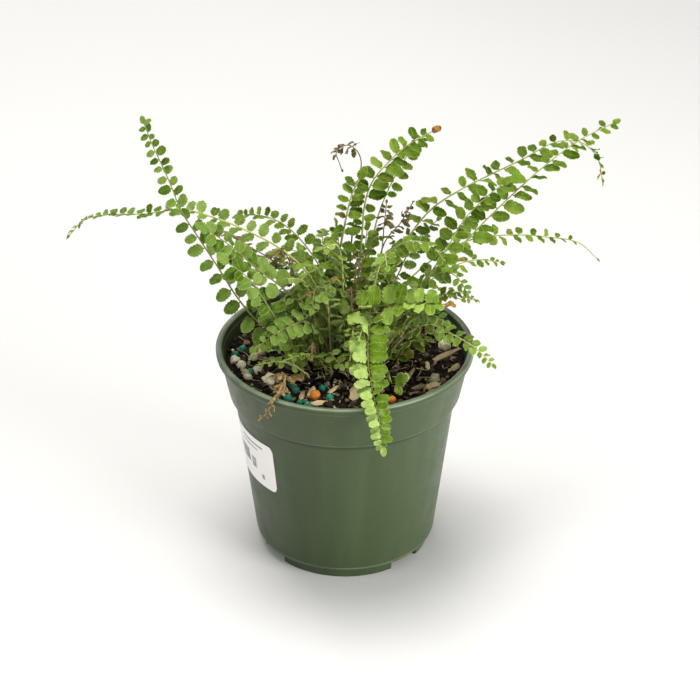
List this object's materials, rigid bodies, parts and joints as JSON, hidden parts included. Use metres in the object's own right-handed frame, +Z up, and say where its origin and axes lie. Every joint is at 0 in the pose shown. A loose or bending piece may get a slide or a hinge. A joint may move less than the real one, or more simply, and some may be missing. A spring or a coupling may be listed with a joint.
{
  "type": "potted fern",
  "caption": "Young sword fern with small round leaflets on arching fronds, growing in soil in a round plastic nursery pot with a rim band.",
  "frame": {"origin": "middle of the pot's underside, on the plane that the pot stands on", "axes": "+Z up along the pot's axis; +X along the plant's widest spread, to the right as seen from the front; -Y towards the front, where one long frond hangs over the rim"},
  "size_m": [0.2332, 0.1349, 0.1915],
  "materials": {
    "pot": "semi-matte moulded plastic, dark green",
    "label": "smooth white film label with plain grey bars",
    "soil": "rough, dark brown peat and bark with pale grains",
    "frond_young": "soft satin leaf, yellow-green",
    "frond_mature": "satin leaf, mid green",
    "frond_dark": "satin leaf, dark bluish green",
    "frond_dry": "matt dried leaf, brown"
  },
  "bodies": {
    "root": {"frond_back_left": "frond_mature", "frond_dry_curl": "frond_dry", "frond_dry_leaning": "frond_dry", "frond_dry_rim": "frond_dry", "frond_dry_stalk": "frond_dry", "frond_front_long": "frond_young", "frond_front_young": "frond_young", "frond_left_back": "frond_mature", "frond_left_front": "frond_mature", "frond_left_high": "frond_mature", "frond_left_long": "frond_mature", "frond_left_low": "frond_mature", "frond_left_middle": "frond_mature", "frond_left_rim": "frond_young", "frond_middle_back": "frond_mature", "frond_middle_high": "frond_mature", "frond_middle_stalk": "frond_dry", "frond_middle_thin": "frond_mature", "frond_middle_upright": "frond_mature", "frond_right_back": "frond_mature", "frond_right_fan": "frond_mature", "frond_right_hanging": "frond_mature", "frond_right_high": "frond_mature", "frond_right_inner": "frond_mature", "frond_right_long": "frond_mature", "frond_right_low": "frond_young", "frond_right_middle": "frond_mature", "frond_right_rear": "frond_mature", "frond_right_side": "frond_mature", "frond_short_1": "frond_mature", "frond_short_10": "frond_dark", "frond_short_11": "frond_mature", "frond_short_12": "frond_young", "frond_short_13": "frond_mature", "frond_short_14": "frond_dark", "frond_short_15": "frond_mature", "frond_short_16": "frond_young", "frond_short_17": "frond_mature", "frond_short_18": "frond_dark", "frond_short_19": "frond_mature", "frond_short_2": "frond_dark", "frond_short_3": "frond_mature", "frond_short_4": "frond_young", "frond_short_5": "frond_mature", "frond_short_6": "frond_dark", "frond_short_7": "frond_mature", "frond_short_8": "frond_young", "frond_short_9": "frond_mature", "label": "label", "pot": "pot", "soil": "soil"}
  },
  "joints": []
}
